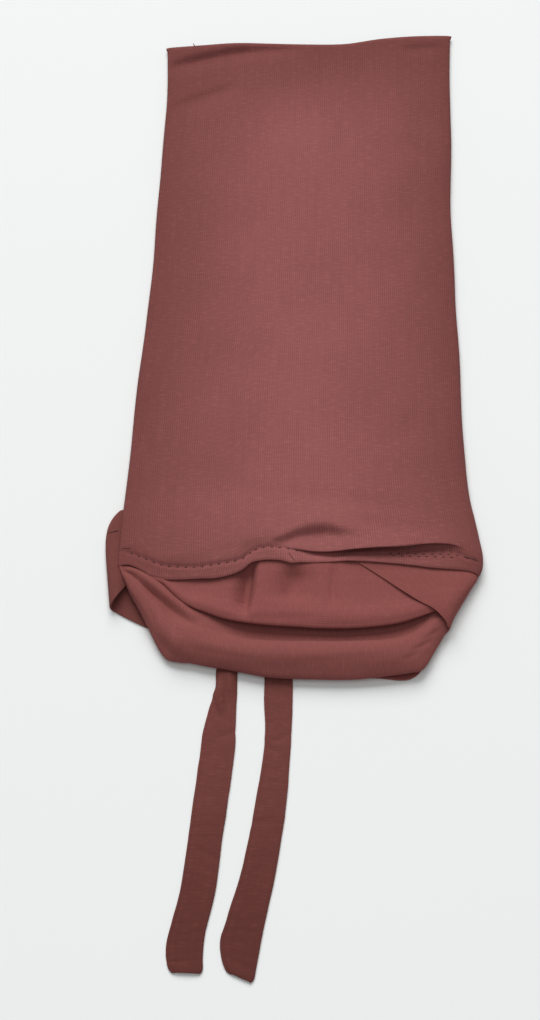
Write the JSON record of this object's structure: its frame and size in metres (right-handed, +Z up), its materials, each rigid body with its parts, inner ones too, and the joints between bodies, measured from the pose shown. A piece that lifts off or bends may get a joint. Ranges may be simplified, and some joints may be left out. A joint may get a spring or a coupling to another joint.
{
  "type": "criss-cross underscarf cap",
  "caption": "Soft jersey underscarf cap lying flat: long open sleeve with a stitched hem, crossing forehead bands that roll out in front, a folded side wing and flat ties.",
  "frame": {"origin": "on the surface that the cap lies on, under the middle of its outline", "axes": "+Y along the sleeve, away from the head opening; +Z up, out of the surface; +X to the right as the picture shows it"},
  "size_m": [0.2613, 0.738, 0.0168],
  "materials": {
    "jersey": "matt viscose jersey with a fine vertical rib, dusty red brown",
    "band_jersey": "the same jersey, folded double for the bands",
    "tie_jersey": "the same jersey as narrow flat ties, darker in the shade"
  },
  "bodies": {
    "root": {"crown_sleeve": "jersey", "band_inner": "band_jersey", "band_left": "band_jersey", "band_right": "band_jersey", "tie_left": "tie_jersey", "tie_right": "tie_jersey"}
  },
  "joints": []
}
